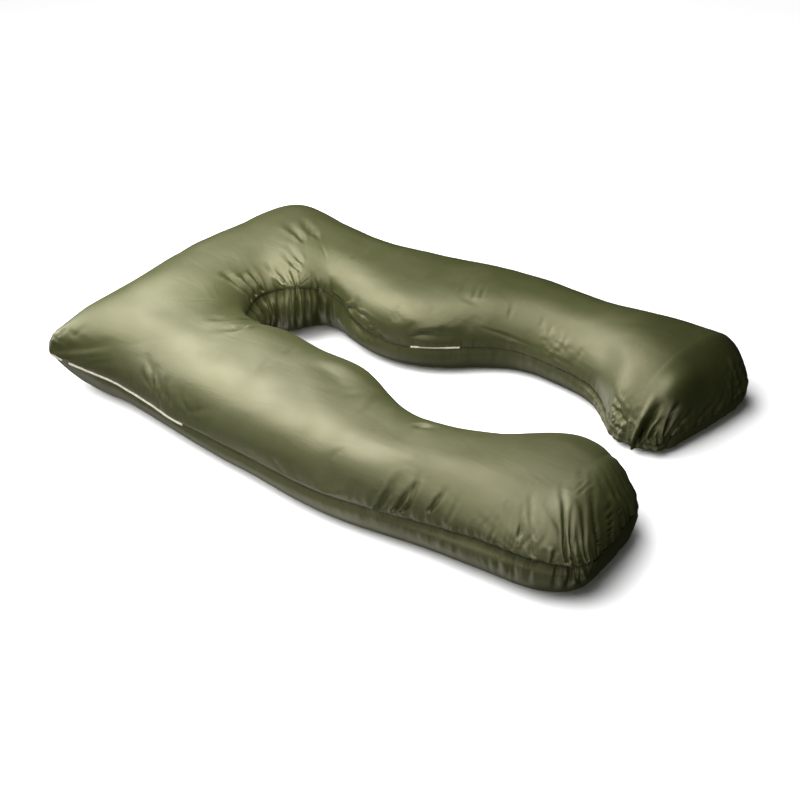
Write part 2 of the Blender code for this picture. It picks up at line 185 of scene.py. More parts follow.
# Folds pressed into the cloth, each through three places given as a row, counted from 0 at the near arm's
# end, and an angle. A fold dies away towards its last place; start is its share of depth at its first one.
Fold = namedtuple("Fold", "name row_a angle_a row_m angle_m row_b angle_b depth width start", defaults=[1])
FOLDS = [Fold(*values) for values in (
    ("tip_1", 0.29, 11, 0.62, 57, 1.17, 86, 0.0068, 0.0039),
    ("tip_2", 0.13, -14, 0.27, 32, 0.51, 55, 0.0059, 0.0035),
    ("tip_3", 0.06, 29, 0.35, 65, 0.73, 81, 0.0068, 0.0039),
    ("tip_4", 0.69, 86, 0.88, 91, 1.08, 97, 0.0043, 0.0036, 0),
    ("tip_5", 0.04, 61, 0.48, 85, 0.92, 97, 0.0068, 0.0039),
    ("tip_6", 0.05, 82, 0.27, 93, 0.62, 97, 0.0059, 0.0035),
    ("tip_7", 0.15, 101, 0.41, 104, 0.69, 108, 0.0043, 0.0036),
    ("tip_8", 0.19, 124, 0.51, 123, 0.92, 126, 0.0034, 0.0032),
    ("tip_9", 0.51, 4, 0.51, 17, 0.51, 28, 0.0051, 0.0036),
    ("tip_10", 0.92, 29, 1.28, 54, 1.52, 71, 0.0025, 0.005),
    ("tip_11", 1.2, 13, 1.33, 42, 1.5, 60, 0.0025, 0.0043),
    ("tip_12", 1.42, 3, 1.48, 22, 1.6, 44, 0.002, 0.0037),
    ("tip_13", 0.02, 47, 0.13, 64, 0.32, 73, 0.0043, 0.0031),
    ("tip_14", 0.27, 28, 0.44, 51, 0.73, 75, 0.0051, 0.0035),
    ("under_1", 0.41, 360, 0.41, 352, 0.41, 335, 0.006, 0.006),
    ("under_2", 0.21, 360, 0.21, 350, 0.27, 331, 0.007, 0.006),
    ("under_3", 0.09, 352, 0.09, 341, 0.11, 322, 0.007, 0.006),
    ("under_4", 0.88, 360, 0.88, 354, 0.92, 340, 0.004, 0.006),
    ("seam_1", 3.92, 1, 3.73, 19, 3.62, 51, 0.0072, 0.0063),
    ("seam_2", 3.62, 3, 3.43, 19, 3.3, 47, 0.008, 0.0049),
    ("seam_3", 3.45, 4, 3.3, 23, 3.37, 61, 0.0064, 0.0045),
    ("seam_4", 2.97, 12, 2.87, 29, 2.8, 50, 0.0064, 0.0049),
    ("seam_5", 2.62, 7, 2.55, 28, 2.57, 50, 0.0028, 0.0048),
    ("seam_6", 1.78, 4, 1.73, 22, 1.73, 39, 0.003, 0.005),
    ("seam_7", 1.3, 5, 1.25, 31, 1.32, 49, 0.0025, 0.0043),
    ("seam_8", 0.92, 7, 1.08, 36, 1.37, 53, 0.0025, 0.0043),
    ("side_1", 8.17, 9, 8.37, 30, 8.67, 47, 0.0072, 0.0075, 0),
    ("side_2", 8.07, 13, 8.17, 25, 8.4, 42, 0.006, 0.006, 0),
    ("side_3", 8.27, 13, 8.42, 22, 8.57, 33, 0.0042, 0.006, 0),
    ("side_4", 7.92, 9, 8.0, 20, 8.15, 37, 0.0048, 0.007, 0),
    ("side_5", 7.58, 9, 7.7, 21, 7.82, 34, 0.0042, 0.007, 0),
    ("side_6", 7.32, 9, 7.4, 19, 7.5, 30, 0.003, 0.006, 0),
    ("side_7", 8.55, 4, 8.68, 14, 8.88, 27, 0.003, 0.008, 0),
    ("ear_1", 9.72, 25, 9.77, 38, 9.77, 45, 0.0024, 0.006, 0),
    ("ear_2", 10.2, 28, 9.78, 32, 9.47, 29, 0.0024, 0.006, 0),
    ("ear_3", 9.92, 18, 9.93, 26, 9.93, 34, 0.0024, 0.005, 0),
    ("slot_1", 11.53, 172, 11.47, 138, 11.57, 116, 0.0088, 0.008),
    ("slot_2", 11.98, 172, 11.9, 145, 11.92, 132, 0.0064, 0.007),
    ("slot_3", 12.38, 172, 12.27, 144, 12.2, 133, 0.0048, 0.006),
    ("slot_4", 13.55, 165, 13.2, 146, 12.93, 129, 0.0048, 0.006),
    ("slot_5", 14.27, 148, 13.95, 133, 13.65, 116, 0.0056, 0.007, 0),
    ("slot_6", 14.33, 135, 14.13, 127, 13.83, 110, 0.004, 0.007, 0),
    ("slot_7", 14.4, 106, 14.17, 98, 13.85, 88, 0.0056, 0.008, 0),
    ("slot_8", 14.85, 96, 14.57, 92, 14.25, 86, 0.0056, 0.008, 0),
    ("slot_9", 14.83, 180, 14.75, 164, 14.7, 148, 0.0032, 0.005),
    ("slot_10", 14.08, 178, 13.98, 150, 13.88, 137, 0.004, 0.005),
    ("slot_11", 9.15, 148, 8.85, 118, 9.0, 98, 0.0072, 0.008),
    ("slot_12", 8.35, 114, 8.3, 102, 8.53, 92, 0.0064, 0.008, 0),
    ("slot_13", 15.28, 180, 15.2, 166, 15.1, 148, 0.0024, 0.005),
    ("crown_1", 7.03, 83, 7.07, 87, 7.12, 91, 0.003, 0.007, 0),
    ("crown_2", 7.1, 98, 7.1, 104, 7.08, 111, 0.003, 0.007, 0),
    ("crown_3", 5.67, 90, 5.48, 101, 5.42, 124, 0.0035, 0.009, 0),
    ("crown_4", 5.17, 90, 5.12, 103, 5.18, 121, 0.0035, 0.01, 0),
    ("near_pinch", 4.17, 99, 4.02, 104, 3.8, 106, 0.0064, 0.008, 0),
    ("far_1", 18.33, 115, 18.28, 101, 18.19, 91, 0.0034, 0.0045, 0),
    ("far_2", 18.44, 113, 18.39, 102, 18.33, 93, 0.0034, 0.0045, 0),
    ("far_3", 18.08, 102, 18.05, 97, 18.03, 91, 0.0022, 0.0045, 0),
    ("far_4", 19.02, 143, 18.99, 130, 18.97, 116, 0.0032, 0.0045, 0),
    ("far_5", 19.55, 144, 19.57, 132, 19.57, 120, 0.0025, 0.0043, 0),
    ("far_6", 19.75, 149, 19.77, 136, 19.75, 126, 0.0025, 0.0043, 0),
    ("far_7", 20.05, 162, 20.1, 146, 20.15, 133, 0.0037, 0.0043, 0),
    ("far_8", 20.42, 163, 20.48, 150, 20.52, 141, 0.0025, 0.0043, 0),
    ("line_1", 18.58, 155, 19.32, 167, 20.55, 165, 0.0018, 0.005, 0),
    ("line_2", 18.8, 172, 19.52, 174, 20.27, 173, 0.0018, 0.005, 0),
    ("line_3", 19.68, 163, 20.25, 169, 20.97, 176, 0.0018, 0.005, 0),
    ("flap_1", 15.2, 178, 15.63, 178, 15.92, 179, 0.005, 0.005, 0),
    ("flap_2", 15.9, 179, 16.15, 174, 16.38, 167, 0.008, 0.006, 0),
    ("flap_3", 16.0, 180, 16.33, 181, 16.7, 183, 0.01, 0.007, 0),
    ("flap_4", 16.32, 171, 16.68, 170, 17.05, 175, 0.005, 0.006, 0),
    ("flap_5", 16.85, 179, 17.1, 179, 17.35, 179, 0.007, 0.006, 0),
    ("flap_roll", 15.4, 190, 16.1, 195, 16.9, 192, -0.006, 0.014, 0),
    ("hollow_arm", 17.55, 174, 17.97, 169, 18.45, 173, 0.006, 0.01, 0),
    ("hollow_near", 6.65, 99, 5.82, 97, 5.23, 97, 0.005, 0.03, 0),
    ("wall_1", 11.4, 181, 11.4, 195, 11.4, 228, 0.006, 0.006),
    ("wall_2", 12.05, 181, 12.02, 195, 12.0, 228, 0.009, 0.007),
    ("wall_3", 12.5, 181, 12.47, 195, 12.42, 227, 0.006, 0.006),
    ("wall_4", 13.05, 181, 13.0, 195, 12.97, 223, 0.009, 0.007),
    ("wall_5", 13.5, 181, 13.45, 195, 13.38, 228, 0.007, 0.006),
    ("wall_6", 13.8, 181, 13.8, 195, 13.75, 219, 0.005, 0.005),
    ("wall_7", 14.08, 181, 14.05, 195, 14.07, 219, 0.01, 0.006),
    ("wall_8", 14.4, 181, 14.38, 195, 14.42, 228, 0.007, 0.006),
    ("wall_9", 14.8, 181, 14.82, 195, 14.83, 230, 0.012, 0.008),
    ("wall_10", 15.2, 181, 15.22, 195, 15.25, 229, 0.005, 0.006),
    ("deep_1", 23.23, 180, 23.49, 160, 23.56, 137, 0.024, 0.0075),
    ("deep_2", 23.92, 152, 23.85, 138, 23.79, 123, 0.017, 0.006),
    ("deep_3", 23.99, 139, 23.95, 121, 23.91, 107, 0.006, 0.0045),
    ("deep_4", 23.68, 171, 23.73, 157, 23.76, 142, 0.008, 0.005),
    ("deep_5", 24.0, 105, 23.97, 95, 23.94, 85, 0.005, 0.005),
    ("deep_6", 24.0, 85, 23.98, 83, 23.92, 74, 0.005, 0.0045),
    ("crumple_1", 21.82, 165, 22.43, 166, 23.16, 174, 0.01, 0.007, 0),
    ("crumple_2", 21.73, 176, 22.53, 175, 22.9, 178, 0.007, 0.006, 0),
    ("crumple_3", 21.9, 155, 22.33, 160, 22.77, 166, 0.007, 0.007, 0),
    ("end_1", 23.98, 48, 23.83, 59, 23.59, 62, -0.004, 0.004, 0),
    ("end_2", 23.99, 61, 23.85, 71, 23.68, 72, -0.003, 0.004, 0),
)]
FOLD_POINTS = 13  # points of the line that a fold follows over the cloth
FOLD_REACH = 5.0  # how far out a fold still shows, in its widths
FOLD_WANDER = 0.5  # how far its line strays, in its widths, and how often
FOLD_WAVES = 5.0
FOLD_ONSET = 0.3  # share of its length in which it reaches its depth, and how fast it dies away
FOLD_TAPER = 0.8
FOLD_SHARPNESS = 1.4
FOLD_AGAIN = 0.6  # share of the deep folds pressed in once more after the cloth, which fills them out
FOLD_WIDENS = 0.9  # how much wider a fold is where it dies away
Ridge = namedtuple("Ridge", "height at width")
LEE_RIDGE = Ridge(0.45, 1.8, 0.9)  # beside a fold on its left, as shares of its depth and width
FAR_RIDGE = Ridge(0.20, 2.0, 1.0)

# Puckers that run off the seam, by the seam's row: how deep above it and below it, how far each reaches, and
# how far the seam itself is drawn in.
Pucker = namedtuple("Pucker", "row above below reach_above reach_below groove")
OUTER_PUCKERS = [Pucker(*values) for values in (
    (0, 0.004, 0.004, 0.05, 0.04, 0.006),
    (1.6, 0.0025, 0.003, 0.04, 0.035, 0.006),
    (4.0, 0.0018, 0.0012, 0.035, 0.03, 0.005),
    (7.0, 0.001, 0.0006, 0.03, 0.025, 0.0035),
    (9.6, 0.0012, 0.001, 0.03, 0.025, 0.0035),
    (10.0, 0.003, 0.0025, 0.04, 0.03, 0.004),
    (10.6, 0.0012, 0.001, 0.03, 0.025, 0.004),
    (22.0, 0.0012, 0.0015, 0.03, 0.025, 0.004),
    (24.0, 0.0035, 0.0035, 0.05, 0.04, 0.005),
)]
INNER_PUCKERS = [Pucker(*values) for values in (
    (0, 0.004, 0.003, 0.05, 0.04, 0.006),
    (3.0, 0.0015, 0.0015, 0.03, 0.03, 0.004),
    (8.0, 0.0015, 0.002, 0.03, 0.06, 0.004),
    (9.5, 0.002, 0.003, 0.03, 0.11, 0.0022),
    (15.0, 0.002, 0.003, 0.03, 0.11, 0.0022),
    (16.0, 0.0012, 0.0012, 0.02, 0.03, 0.0035),
    (18.5, 0.0015, 0.0012, 0.03, 0.04, 0.004),
    (21.5, 0.002, 0.002, 0.03, 0.03, 0.0045),
    (23.0, 0.004, 0.004, 0.04, 0.035, 0.005),
    (24.0, 0.004, 0.004, 0.05, 0.04, 0.005),
)]
PUCKER_PITCH = 0.012
PUCKER_LENGTH = 0.090
PUCKER_SWAY = 0.25  # how far they lean along the seam, as a share of the way off it
SWAY_PITCH = 0.06
PATCH_PITCH = 0.05  # they grow longer and shorter along the seam, by this share of their reach
PATCH_SHARE = 0.5
LEAST_REACH = 0.010
SEAM_CALM = 0.003  # closer to the seam than this they are shallower, down to this share
SEAM_CALM_SHARE = 0.35
UNDER_OFFSET = 40.0  # sets the noise below the seam apart from that above it

# The stretches of zip that show in the seam, by row, at the outer seam (0) or the inner one (180), and how
# far each sinks into the cloth.
ZipPiece = namedtuple("ZipPiece", "name row_a row_b angle sink")
ZIPS = (
    ZipPiece("zip_corner", 10.04, 9.74, 0, 0.0010),
    ZipPiece("zip_side", 9.66, 7.70, 0, 0.0010),
    ZipPiece("zip_arm", 17.60, 18.36, 180, 0.0028),
)
ZIP_RADIUS = 0.0030
ZIP_TURN = 0.0018  # from one turn of the coil to the next
ZIP_RINGS_PER_TURN = 4
ZIP_AROUND = 16
ZIP_RIB = 0.14  # how deep the hollow between two turns is, as a share of the radius
ZIP_GROOVE = 0.10  # the groove between both rows of turns: its depth, as such a share too, and its width
ZIP_GROOVE_WIDTH = 0.25
ZIP_TIP = 0.02  # how thin the rounded ends get
ZIP_LINE_POINTS = 400
ZIP_SEARCH = 0.030  # how far out of the seam its seat is looked for, in so many halvings
ZIP_HALVINGS = 30
ZIP_SEAT_PITCH = 0.012
ZIP_LEAST_SEATS = 4
ZIP_CREAM = (0.74, 0.71, 0.58, 1)
ZIP_GRIME = (0.60, 0.58, 0.46, 1)

SATIN_LIGHT = (0.0435, 0.0500, 0.0130, 1)
SATIN_DARK = (0.0365, 0.0420, 0.0110, 1)
# Painted shade: the dark colour laid in a thin line along the seam's groove.
SEAM_PAINTED_SHADE = (0.010, 0.012, 0.004, 1)
SATIN_GLOSS = {"Specular IOR Level": 1.0, "Specular Tint": (1.0, 0.92, 0.63, 1)}
SATIN_ROUGHNESS = (0.44, 0.52)
ZIP_ROUGHNESS = 0.5
STITCH_PITCH = 0.004

# Noises by scale and detail, shares of the two that shade the satin, and the range of a noise that counts.
SHADE_NOISE = (4.0, 3.0)
MOTTLE_NOISE = (60.0, 4.0)
ROUGH_NOISE = (14.0, 5.0)
GATHER_NOISE = (1.0, 3.0)
CREASE_NOISE = (1.0, 5.0)
WEAVE_NOISE = (1.0, 2.0)
GRIME_NOISE = (120.0, 4.0)
ZIP_NOISE = (900.0, 2.0)
SHADE_SHARE = 0.8
MOTTLE_SHARE = 0.2
SATIN_RANGE = (0.3, 0.7)
GRIME_RANGE = (0.35, 0.7)

# How often gathers repeat along the seam and off it, and creases and weave along X, Y and Z, in one metre.
GATHERS = (90.0, 9.0)
CREASES = (16.0, 7.0, 16.0)
WEAVE = (900.0, 160.0, 900.0)

# Distances from the seam up to which something shows in full, and at which it is gone.
# The first is the band of painted shade along the seam.
SEAM_SHADE_BAND = (0.0004, 0.0016)
GATHER_FADE = (0.002, 0.060)
STITCH_FADE = (0.001, 0.006)

Relief = namedtuple("Relief", "strength depth")
GATHER_RELIEF = Relief(0.55, 0.0030)
CREASE_RELIEF = Relief(0.30, 0.0045)
STITCH_RELIEF = Relief(0.5, 0.0006)
WEAVE_RELIEF = Relief(0.15, 0.0001)
ZIP_RELIEF = Relief(0.2, 0.0001)

# Broad soft dents all over, where the filling is uneven: their size, their depth and the seed of their noise.
Dent = namedtuple("Dent", "size depth seed")
DENTS = (Dent(0.17, 0.0022, 3), Dent(0.07, 0.0009, 4))

# Patches of sharp small crumples: where, how wide the patch is, how deep and how large the crumples are.
CRUMPLE_SHARPNESS = 2.2
CRUMPLE_REACH = 2  # patch widths
CRUMPLE_SEED = 10
Crumple = namedtuple("Crumple", "name row angle patch depth size")
CRUMPLES = (
    Crumple("ear", 9.95, 16, 0.035, 0.002, 0.011),
    Crumple("flap", 16.82, 178, 0.018, 0.004, 0.012),
    Crumple("far_line", 20.00, 172, 0.060, 0.0015, 0.020),
    Crumple("far_point", 22.40, 170, 0.045, 0.003, 0.013),
    Crumple("far_tip", 23.20, 182, 0.030, 0.003, 0.014),
    Crumple("far_end", 23.95, 50, 0.060, 0.002, 0.018),
    Crumple("near_end", 0.20, 4, 0.020, 0.003, 0.010),
    Crumple("near_inside", 0.60, 175, 0.060, 0.002, 0.018),
)

# The cloth that the cover is simulated as, on a coarser grid: held at the seam and where it lies.
CLOTH_SHARE = 0.58  # sections, as a share of the finished grid's
CLOTH_TOP_STEPS = 64
CLOTH_UNDER_STEPS = 36
CLOTH_FRAMES = 20
CLOTH_QUALITY = 6
CLOTH_STIFFNESS = 20
CLOTH_FOLD_DEPTH = 0.004  # shallower folds are only pressed in, because the coarse grid would kink at them
CLOTH_PRESSURE = 3.0
CROWN_SLACK = 0.0  # how much larger the cloth is than its start shape, far from the seam and at it
SEAM_SLACK = 0.022
SLACK_REACH = 0.055  # how far from the seam it is slack
CLOTH_BEND = 0.1
CLOTH_HELD = 0.004  # held fully this close to the seam or the surface, and free a little further off
CLOTH_FREE = 0.010
CLOTH_CAP = 0.014  # no point moves further than this
CLOTH_REACH = 0.11  # the wrinkles die away over this distance from the seam, so the crown stays smooth
CLOTH_SWELL = 0.25  # share of the cloth's broad swelling that is kept, beside all of its wrinkles
SWELL_REACH = 5  # sections and steps that the broad swelling is averaged over


def smooth_through(knots, values, places):
    """A natural cubic spline through values at knots, read at places."""
    gaps = np.diff(knots)
    slopes = np.diff(values, axis=0) / gaps[:, None]
    matrix = np.eye(len(knots))
    bends = np.zeros_like(values)
    for i in range(1, len(knots) - 1):
        matrix[i, i - 1 : i + 2] = gaps[i - 1], 2 * (gaps[i - 1] + gaps[i]), gaps[i]
        bends[i] = 6 * (slopes[i] - slopes[i - 1])
    bends = np.linalg.solve(matrix, bends)
    i = np.clip(np.searchsorted(knots, places, side="right") - 1, 0, len(knots) - 2)
    gap = gaps[i][:, None]
    before = (knots[i + 1] - places)[:, None] / gap
    after = 1 - before
    straight = before * values[i] + after * values[i + 1]
    bent = (before**3 - before) * bends[i] + (after**3 - after) * bends[i + 1]
    return straight + bent * gap**2 / 6


def rows_at(places):
    """The table's columns at row places such as 3.25, and how far each place is towards an arm's end edge."""
    body = TABLE[1:-1]
    outer_steps = np.linalg.norm(np.diff(body[:, 0:2], axis=0), axis=1)
    inner_steps = np.linalg.norm(np.diff(body[:, 2:4], axis=0), axis=1)
    knots = np.concatenate([[0], np.cumsum(np.sqrt(outer_steps + inner_steps))])
    inside = np.clip(places, 1, LAST - 1) - 1
    columns = smooth_through(knots, body, np.interp(inside, np.arange(len(body)), knots))
    closing = np.clip(np.maximum(1 - places, places - (LAST - 1)), 0, 1)
    share = np.repeat((1 - np.sqrt(1 - closing**2))[:, None], TABLE.shape[1], axis=1)
    share[:, [1, 3]] = closing[:, None]  # the arm runs straight on while its corners round off
    for tip, end, here in ((TABLE[1], TABLE[0], places < 1), (TABLE[-2], TABLE[-1], places > LAST - 1)):
        columns = np.where(here[:, None], tip + (end - tip) * share, columns)
    return columns, closing


def cloth(places, angles):
    """Points of the smooth pillow at row places and at angles in radians."""
    columns, closing = rows_at(places)
    middle = (columns[:, 0:2] + columns[:, 2:4]) / 2
    half = (columns[:, 0:2] - columns[:, 2:4]) / 2
    half_width = np.linalg.norm(half, axis=1)
    crown, seam_out, seam_in, tuck_out, tuck_in, full_out, full_in = columns[:, 4:].T
    open_top = (1 - closing**END_FULL_TOP) ** (1 / END_FULL_TOP)
    open_under = (1 - closing**END_FULL_UNDER) ** (1 / END_FULL_UNDER)
    up, out = np.sin(angles), np.cos(angles)
    full_top = full_out + (full_in - full_out) * (1 - out) / 2
    full = np.where(up >= 0, full_top, full_top + (UNDER_FULL - full_top) * open_under)
    across = np.sign(out) * np.abs(out) ** (2 / full)
    rise = np.abs(up) ** (2 / full)
    seam = seam_out + (seam_in - seam_out) * (1 - across) / 2
    top = seam + (crown - seam) * rise * open_top
    under = seam - seam * np.minimum(rise * PRESS, 1) * open_under
    bulge = np.where(out > 0, tuck_out, -tuck_in) * 4 * rise * (1 - rise) * open_under
    across_plan = across + np.where(up >= 0, 0, bulge) / half_width
    plan = middle + half * across_plan[:, None] + (PLAN_X, PLAN_Y)
    points = np.column_stack([plan, np.where(up >= 0, top, under)])
    ear = np.exp(-(((places - EAR_ROW) / EAR_WIDTH) ** 2)) * np.clip(across, 0, 1) ** EAR_SHARPNESS
    points += ear[:, None] * np.array(EAR_OUT)
    for shift in SHIFTS:
        turned = (np.degrees(angles) - shift.angle + 180) % 360 - 180
        share = np.exp(-(((places - shift.row) / shift.rows) ** 2) - (turned / shift.degrees) ** 2)
        points += share[:, None] * (shift.x, shift.y, shift.z)
    return points


def row_places(share):
    """The row place of every section, closest at the arms' ends, with a share of the table's steps."""
    places = []
    for i, row in enumerate(ROWS[:-1]):
        steps = round(row.steps * share)
        part = np.arange(steps) / steps
        if i == 0:
            part = 1 - np.cos(part * pi / 2)
        elif i == LAST - 1:
            part = np.sin(part * pi / 2)
        places.extend(i + part)
    return np.array(places + [LAST])


def section_angles(top_steps, under_steps):
    """The angles of a section's points, over its top and on round under it."""
    return np.concatenate([spaced(TOP_SPACING, top_steps), spaced(UNDER_SPACING, under_steps)])


def spaced(spacing, steps):
    """Angles in radians, spread over a stretch of the section as closely as its spacing says."""
    angles = list(spacing)
    fine = np.linspace(angles[0], angles[-1], SPACING_POINTS)
    closeness = np.interp(fine, angles, list(spacing.values()))
    travelled = np.concatenate([[0], np.cumsum((closeness[1:] + closeness[:-1]) / 2)])
    return np.radians(np.interp(np.arange(steps) / steps * travelled[-1], travelled, fine))


def length_along(points):
    """How far along a line of points each of them is."""
    return np.concatenate([[0], np.cumsum(np.linalg.norm(np.diff(points, axis=0), axis=1))])


def outward(grid):
    """The unit outward direction at each point of a grid of sections."""
    round_section = np.roll(grid, -1, axis=1) - np.roll(grid, 1, axis=1)
    normal = np.cross(round_section, np.gradient(grid, axis=0))
    return normal / np.maximum(np.linalg.norm(normal, axis=-1, keepdims=True), 1e-9)


def noise_at(points, sizes, seed):
    """Smooth noise of about -1 to 1 at points, whose humps are as large as sizes say."""
    places = points / np.array(sizes) + NOISE_STEP * seed
    return np.array([noise.noise(place) for place in places.tolist()]) * NOISE_GAIN


def fold_line(fold):
    """The line over the cloth that a fold follows through its three places, a little unsteady."""
    share = np.linspace(0, 1, FOLD_POINTS)
    first, middle, last = (1 - share) * (1 - 2 * share), 4 * share * (1 - share), share * (2 * share - 1)
    weights = np.stack([first, middle, last], axis=1)
    places = weights @ (fold.row_a, fold.row_m, fold.row_b)
    angles = weights @ (fold.angle_a, fold.angle_m, fold.angle_b)
    line = cloth(np.clip(places, 0, LAST), np.radians(angles))
    seed = sum(map(ord, fold.name))
    stray = [noise.noise_vector((FOLD_WAVES * t, seed, 0.5)) for t in share.tolist()]
    return line + np.array(stray) * fold.width * FOLD_WANDER * np.sin(share * pi)[:, None]


def pressed_by(points, normals, fold):
    """How deep a fold presses each point: a trough along the fold's line, with a ridge on each side of it."""
    line = fold_line(fold)
    reach = fold.width * FOLD_REACH
    near = ((points > line.min(0) - reach) & (points < line.max(0) + reach)).all(1).nonzero()[0]
    step = np.diff(line, axis=0)
    offset = points[near, None] - line[:-1]
    along = np.clip((offset * step).sum(-1) / (step**2).sum(-1), 0, 1)
    away = np.linalg.norm(offset - along[..., None] * step, axis=-1)
    nearest = away.argmin(axis=1)
    every = np.arange(len(near))
    travelled = (nearest + along[every, nearest]) / len(step)
    side = (np.cross(step[nearest], offset[every, nearest]) * normals[near]).sum(-1)
    widths = away[every, nearest] / (fold.width * (1 + FOLD_WIDENS * (travelled - 0.5)))
    profile = np.exp(-(widths**FOLD_SHARPNESS))
    for ridge, here in ((LEE_RIDGE, side > 0), (FAR_RIDGE, side <= 0)):
        profile -= np.where(here, ridge.height * np.exp(-(((widths - ridge.at) / ridge.width) ** 2)), 0)
    fade = np.clip(fold.start + travelled / FOLD_ONSET, 0, 1) * (1 - travelled) ** FOLD_TAPER
    depth = np.zeros(len(points))
    depth[near] = fold.depth * fade * profile
    return depth


def seam_loop():
    """Points of the whole seam in order, how far along it each is, and its pucker table's columns there."""
    along = np.linspace(0, LAST, SEAM_POINTS)
    round_end = np.linspace(0, pi, SEAM_END_POINTS)
    stretches = (
        (along, np.zeros_like(along), OUTER_PUCKERS),
        (np.full_like(round_end, LAST), round_end, INNER_PUCKERS),
        (along[::-1], np.full_like(along, pi), INNER_PUCKERS),
        (np.zeros_like(round_end), round_end[::-1], OUTER_PUCKERS),
    )
    points, columns = [], []
    for places, angles, puckers in stretches:
        points.append(cloth(places, angles))
        rows, *values = np.array(puckers).T
        columns.append(np.stack([np.interp(places, rows, value) for value in values], axis=1))
    points = np.concatenate(points)
    return points, length_along(points), np.concatenate(columns)


# A grid of sections over the smooth pillow: its row places and angles, its points and outward directions,
# and for each point whether it is above the seam, how far along it and away from it, and the puckers there.
Grid = namedtuple("Grid", "places angles points normals upper run away puckers")


def pillow_grid(places, angles):
    """The smooth pillow's grid at row places and angles."""
    place_grid, angle_grid = np.meshgrid(places, angles, indexing="ij")
    points = cloth(place_grid.ravel(), angle_grid.ravel())
    seam, travelled, columns = seam_loop()
    tree = kdtree.KDTree(len(seam))
    for i, place in enumerate(seam.tolist()):
        tree.insert(place, i)
    tree.balance()
    index, away = np.array([tree.find(point)[1:] for point in points.tolist()]).T
    index = index.astype(int)
    upper = angle_grid.ravel() <= pi
    normals = outward(points.reshape(len(places), len(angles), 3)).reshape(-1, 3)
    return Grid(places, angles, points, normals, upper, travelled[index], away, columns[index])


def as_sections(grid, values):
    """Values of the grid's points, laid out by section and angle."""
    return values.reshape(len(grid.places), len(grid.angles), -1)


def puckers(grid):
    """How deep the puckers off the seam press each point."""
    above, below, reach_above, reach_below, _ = grid.puckers.T
    side = np.where(grid.upper, 0.0, UNDER_OFFSET)
    lengthwise = grid.away / PUCKER_LENGTH
    swaying = np.column_stack([grid.run / SWAY_PITCH, lengthwise * 2, side])
    sway = PUCKER_SWAY * noise_at(swaying, (1, 1, 1), 5)
    along = grid.run + sway * grid.away
    waves = noise_at(np.column_stack([along / PUCKER_PITCH, lengthwise, side]), (1, 1, 1), 1)
    patchy = noise_at(np.column_stack([grid.run, side, side]), (PATCH_PITCH, 1, 1), 2)
    reach = np.where(grid.upper, reach_above, reach_below) * (1 + PATCH_SHARE * patchy)
    fade = np.exp(-((grid.away / np.maximum(reach, LEAST_REACH)) ** 2))
    fade *= np.clip(grid.away / SEAM_CALM, SEAM_CALM_SHARE, 1)
    return waves * fade * np.where(grid.upper, above, below)


def dents(points):
    """How deep the broad dents press each point."""
    return sum(dent.depth * noise_at(points, (dent.size,) * 3, dent.seed) for dent in DENTS)


def crumples(points):
    """Sharp small crumples in their patches."""
    depth = np.zeros(len(points))
    for i, crumple in enumerate(CRUMPLES):
        middle = cloth(np.array([crumple.row]), np.radians([crumple.angle]))[0]
        away = np.linalg.norm(points - middle, axis=1) / crumple.patch
        near = (away < CRUMPLE_REACH).nonzero()[0]
        ridges = np.abs(noise_at(points[near], (crumple.size,) * 3, CRUMPLE_SEED + i))
        sharp = 1 - CRUMPLE_SHARPNESS * ridges
        depth[near] += crumple.depth * sharp * np.exp(-(away[near] ** 2))
    return depth


def pressed_in(grid, depth):
    """The grid's points pressed in by depth, with the seam drawn in and the arms' ends closed."""
    depth = depth * np.clip(grid.points[:, 2] / FLOOR_FADE, 0, 1)
    depth += grid.puckers[:, -1] * np.exp(-((grid.away / SEAM_WIDTH) ** 2))
    depth = as_sections(grid, depth)
    depth[[0, -1]] = 0
    points = as_sections(grid, grid.points).copy()
    for end, beside in ((0, 1), (-1, -2)):
        inwards = points[beside].mean(axis=0) - points[end].mean(axis=0)
        inwards[2] = 0
        points[end] += inwards / np.linalg.norm(inwards) * SEAM_DEPTH
    return points - as_sections(grid, grid.normals) * depth


def closed(points, angles):
    """The sections with each arm's end drawn to one edge and nothing below the surface."""
    points[..., 2] = np.maximum(points[..., 2], 0)
    top = (angles < pi).sum()
    for k in range(1, top):
        twin = np.abs((2 * pi - angles[top:]) - angles[k]).argmin() + top
        points[[0, -1], twin] = points[[0, -1], k]
    return points


def section_mesh(name, points):
    """A mesh object over a grid of sections."""
    sections, around = points.shape[:2]
    corners = np.arange(sections * around).reshape(sections, around)
    after = np.roll(corners, -1, axis=1)
    faces = np.stack([corners[:-1], after[:-1], after[1:], corners[1:]], axis=-1).reshape(-1, 4)
    data = bpy.data.meshes.new(name)
    data.from_pydata(points.reshape(-1, 3).tolist(), [], faces.tolist())
    piece = bpy.data.objects.new(name, data)
    bpy.context.scene.collection.objects.link(piece)
    return piece


def averaged(field, reach):
    """A field over the sections averaged over reach places each way, three times over."""
    width = 2 * reach + 1
    for axis, mode in ((0, "edge"), (1, "wrap")):
        for _ in range(3):
            padding = [(0, 0)] * 3
            padding[axis] = (reach + 1, reach)
            total = np.cumsum(np.pad(field, padding, mode=mode), axis=axis)
            count = field.shape[axis]
            upto = np.take(total, range(width, width + count), axis=axis)
            field = (upto - np.take(total, range(count), axis=axis)) / width
    return field


